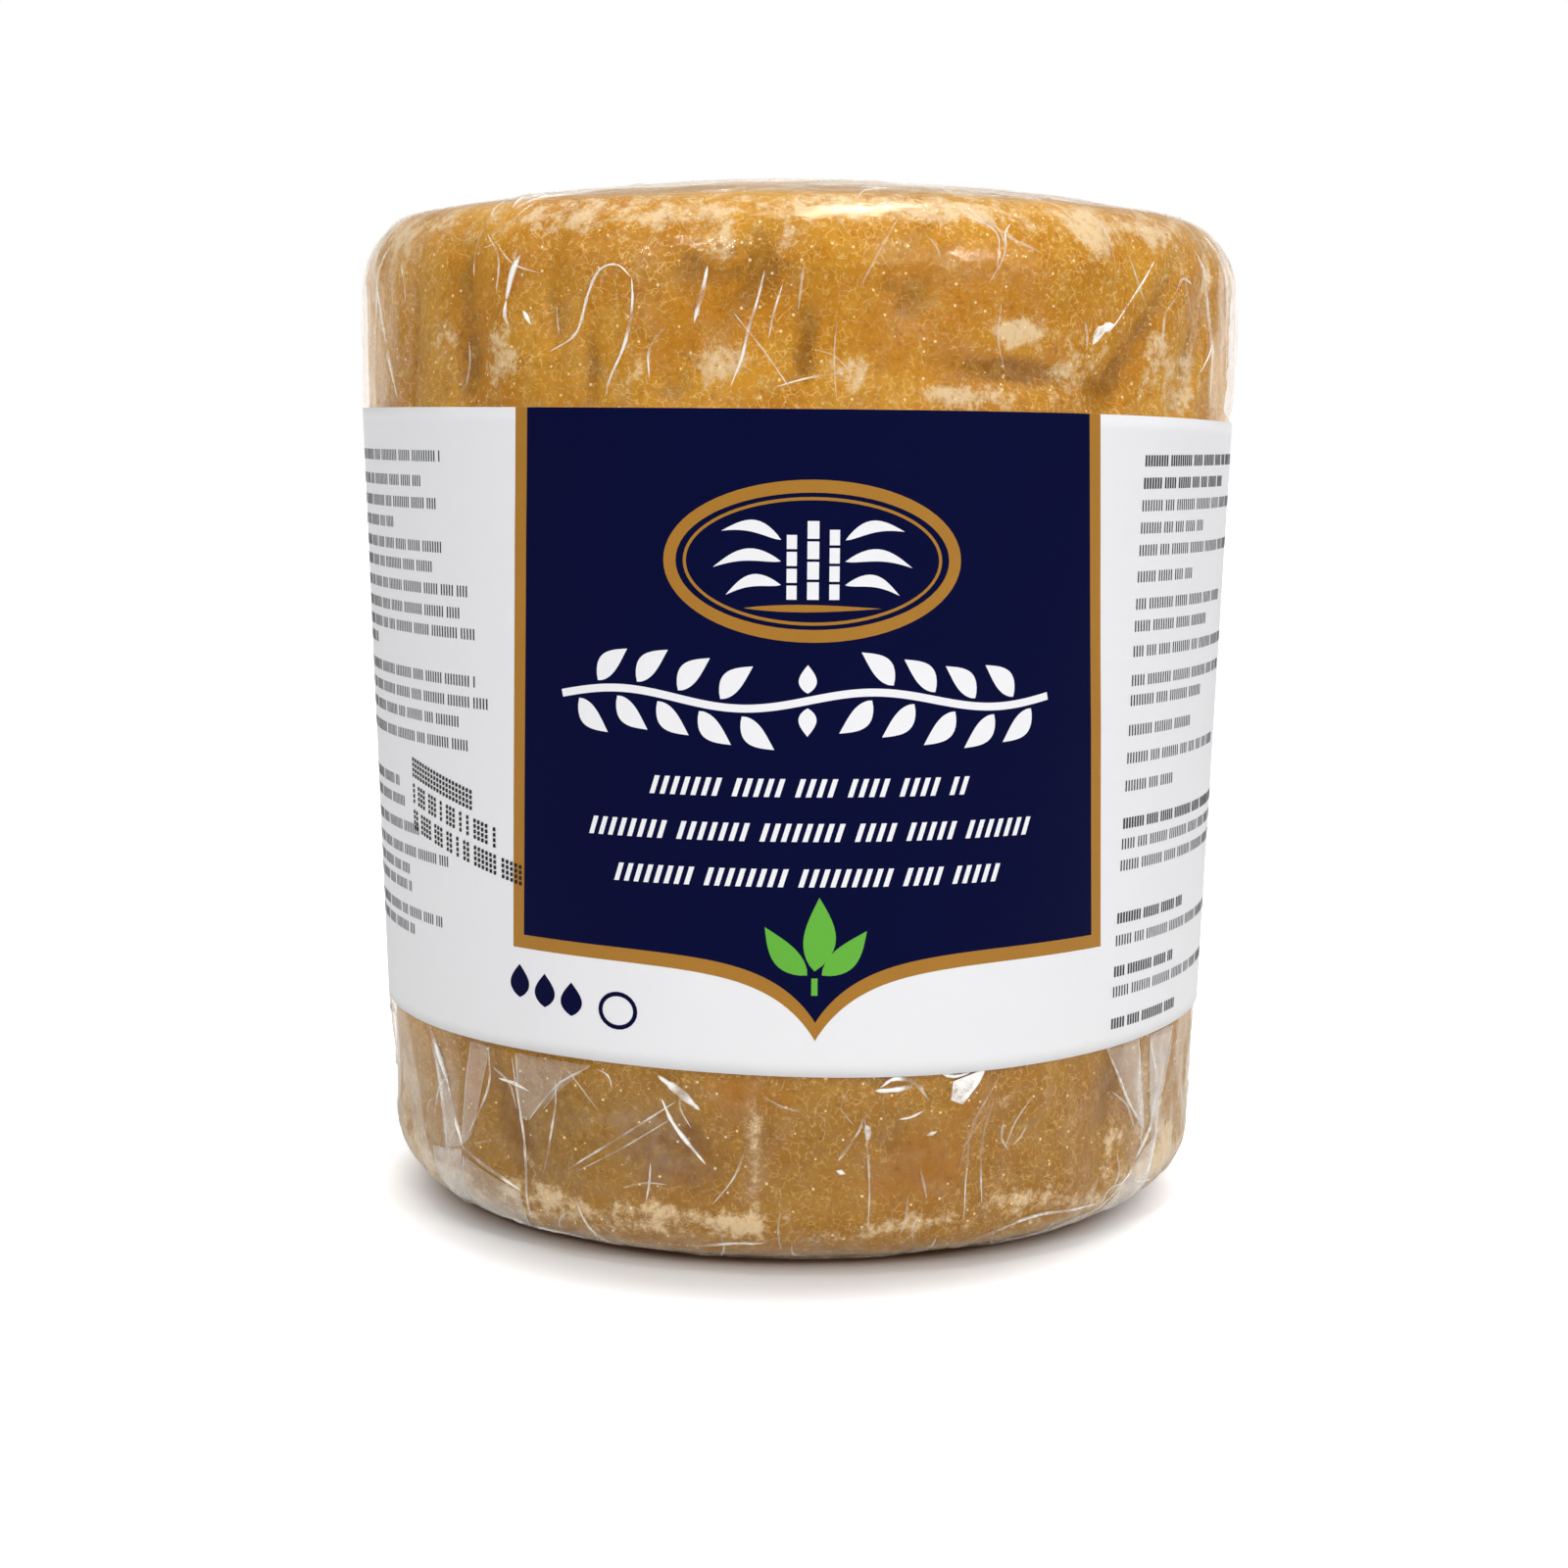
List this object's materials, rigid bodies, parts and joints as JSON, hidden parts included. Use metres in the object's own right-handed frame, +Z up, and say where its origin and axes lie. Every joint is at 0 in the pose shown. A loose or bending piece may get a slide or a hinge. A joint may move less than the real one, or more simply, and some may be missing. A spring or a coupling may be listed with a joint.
{
  "type": "jaggery block",
  "caption": "Round, slightly tapered loaf of cast unrefined cane sugar in clear shrunk film with a paper band round its middle, wider at its low domed top.",
  "frame": {"origin": "centre of the flat base, on the surface that the block stands on", "axes": "+Z up along the block's axis, -Y towards the front of the paper band"},
  "size_m": [0.095, 0.095, 0.1081],
  "materials": {
    "jaggery": "cast cane sugar, waxy and slightly translucent, ochre to amber with pale crystal flecks",
    "clear_film": "thin clear shrunk film, glossy, with sharp creases and milky folds",
    "printed_paper": "satin white label paper, printed with a dark blue panel edged in gold"
  },
  "bodies": {
    "root": {"wrapped_block": "jaggery", "paper_band": "printed_paper"}
  },
  "joints": []
}
